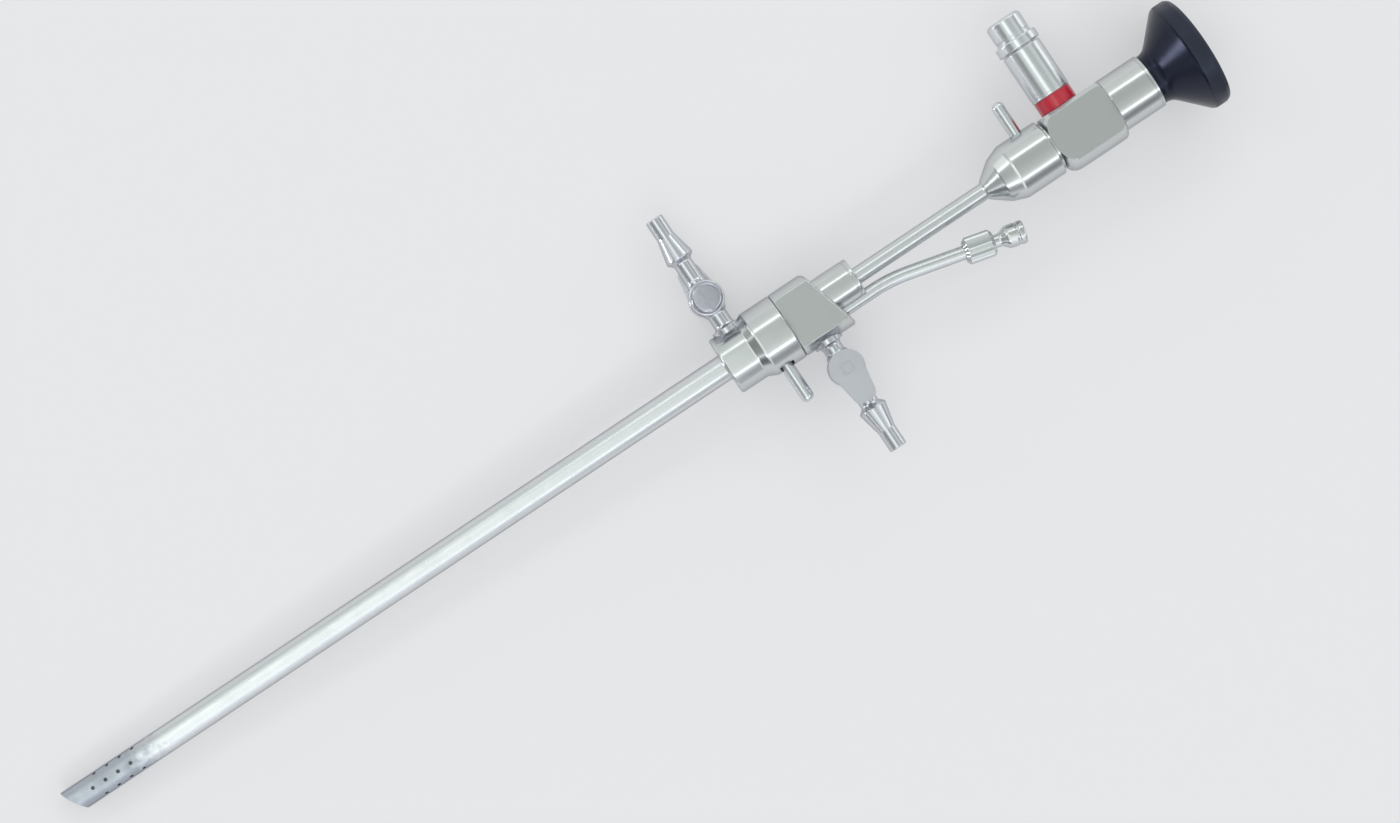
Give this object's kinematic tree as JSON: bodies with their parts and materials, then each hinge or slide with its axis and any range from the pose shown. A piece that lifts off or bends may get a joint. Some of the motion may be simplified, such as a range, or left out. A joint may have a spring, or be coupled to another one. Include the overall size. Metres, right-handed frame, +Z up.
{
  "type": "rigid endoscope",
  "caption": "Long rigid endoscope in a perforated double sheath, with two stopcocks, bayonet locks, instrument port, light post and black eyecup, lying on a table.",
  "frame": {"origin": "middle of the part's box, on the table that it lies on", "axes": "+X from the sheath's tip to the eyepiece, +Y to the light post's side, +Z up from the table"},
  "size_m": [0.3626, 0.087, 0.0319],
  "materials": {
    "bright_steel": "polished stainless steel",
    "steel": "satin stainless steel",
    "seal_rubber": "soft black rubber",
    "glass": "polished glass",
    "blackened_steel": "matte black",
    "fibres": "polished fibre ends",
    "red_ring": "red enamel",
    "eyecup_black": "moulded black plastic",
    "spring_steel": "plain spring steel"
  },
  "bodies": {
    "instrument": {"outer_sheath_tube": "bright_steel", "outer_sheath_hub": "steel", "inner_sheath_tube": "bright_steel", "bridge_block": "steel", "hub_seal": "seal_rubber", "guide_neck": "steel", "guide_tube": "bright_steel", "channel_tube": "bright_steel", "channel_nut": "steel", "channel_port": "steel", "rear_coupling": "steel", "coupling_seal": "seal_rubber", "telescope_shaft": "bright_steel", "optic_tube": "steel", "tip_window": "glass", "view_prism": "glass", "rod_lenses": "glass", "lens_spacers": "blackened_steel", "light_fibres": "fibres", "fibre_bundle": "fibres", "telescope_body": "steel", "light_post": "steel", "colour_ring": "red_ring", "light_adapter": "steel", "light_face": "glass", "ocular_housing": "steel", "optic_holder": "blackened_steel", "field_stop": "blackened_steel", "ocular_lens": "glass", "eyecup": "eyecup_black", "eyepiece_window": "glass", "outflow_tap_body": "steel", "inflow_tap_body": "steel"},
    "outflow_tap": {"outflow_tap_plug": "steel", "outflow_tap_lever": "steel", "outflow_tap_spring": "spring_steel", "outflow_tap_cap": "steel"},
    "inflow_tap": {"inflow_tap_plug": "steel", "inflow_tap_lever": "steel", "inflow_tap_spring": "spring_steel", "inflow_tap_cap": "steel"},
    "sheath_lock": {"sheath_lock_ring": "steel", "sheath_lock_pin": "bright_steel"},
    "telescope_lock": {"telescope_lock_ring": "steel", "telescope_lock_pin": "bright_steel"}
  },
  "joints": [
    {"name": "outflow_tap_turn", "type": "hinge", "parent": "instrument", "child": "outflow_tap", "pos_m": [0.03496, 0.01795, 0.00979], "axis": [0.0344, -0.0707, -0.9969], "range_deg": [0, 90]},
    {"name": "inflow_tap_turn", "type": "hinge", "parent": "instrument", "child": "inflow_tap", "pos_m": [0.05556, -0.01795, 0.01305], "axis": [-0.0344, 0.0707, 0.9969], "range_deg": [0, 90]},
    {"name": "sheath_lock_turn", "type": "hinge", "parent": "instrument", "child": "sheath_lock", "pos_m": [0.04291, 0, 0.01134], "axis": [0.9994, 0, 0.0345], "range_deg": [0, 30]},
    {"name": "telescope_lock_turn", "type": "hinge", "parent": "instrument", "child": "telescope_lock", "pos_m": [0.12776, 0.00085, 0.01421], "axis": [-0.9994, 0, -0.0345], "range_deg": [0, 30]}
  ]
}
